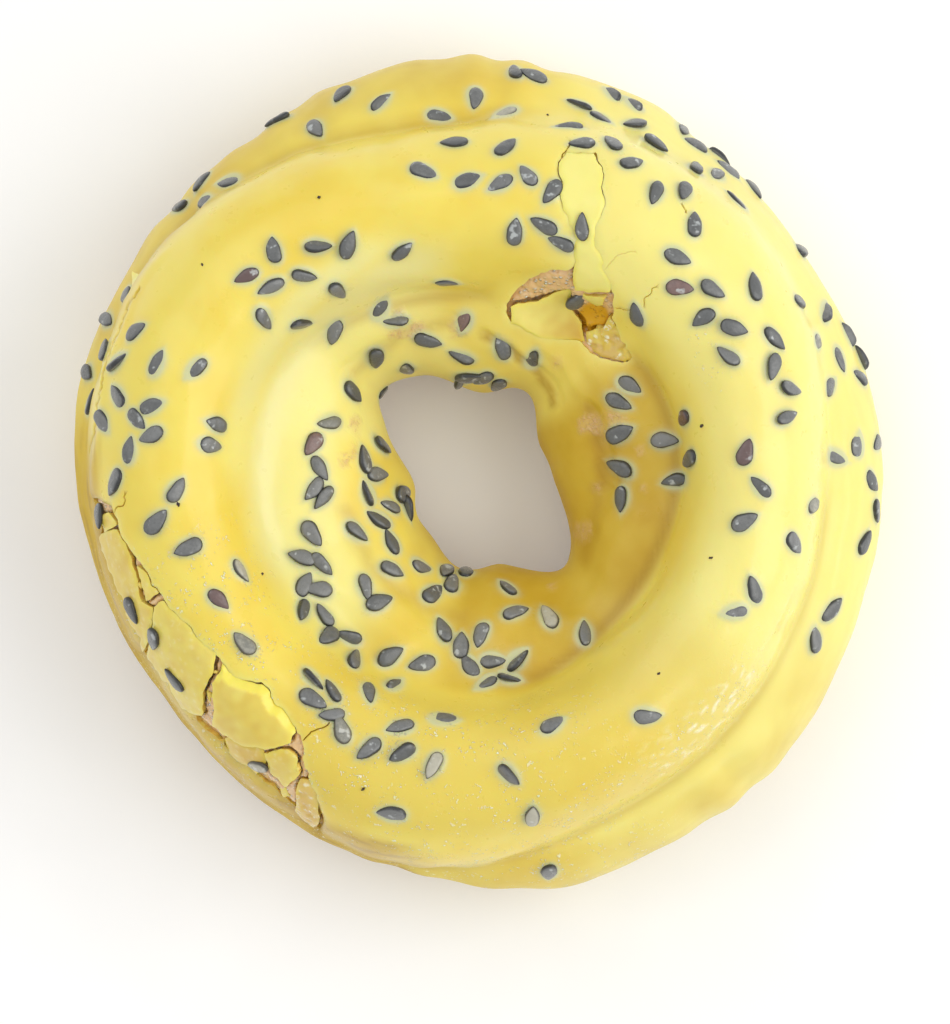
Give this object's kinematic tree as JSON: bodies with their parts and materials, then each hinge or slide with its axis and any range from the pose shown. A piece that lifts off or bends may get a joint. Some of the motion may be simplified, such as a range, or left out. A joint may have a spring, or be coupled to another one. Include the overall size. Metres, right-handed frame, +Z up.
{
  "type": "coated ring doughnut",
  "caption": "Ring doughnut with a smooth yellow coat and black sesame, the coat cracked and broken open on its flank and beside its hole, resting on a bare fried base",
  "frame": {"origin": "on the bare base's plane, under the middle of the bounding box, +Z up", "axes": "+Z is up through the hole and is the shortest extent; the flank break lies towards -X and -Y, the shoulder break towards +X and +Y"},
  "size_m": [0.0938, 0.0969, 0.0347],
  "materials": {
    "fried_dough": "satin, greasy fried crumb",
    "yellow_coat": "smooth gloss",
    "broken_coat": "smooth gloss"
  },
  "bodies": {
    "root": {"dough": "fried_dough", "coating": "yellow_coat", "flank_plate_1": "broken_coat", "flank_plate_2": "broken_coat", "flank_plate_3": "broken_coat", "flank_plate_4": "broken_coat", "flank_plate_5": "broken_coat", "flank_plate_6": "broken_coat", "flank_plate_7": "broken_coat", "flank_plate_8": "broken_coat", "shoulder_sliver": "broken_coat", "shoulder_flake_1": "broken_coat", "shoulder_flake_2": "broken_coat"}
  },
  "joints": []
}
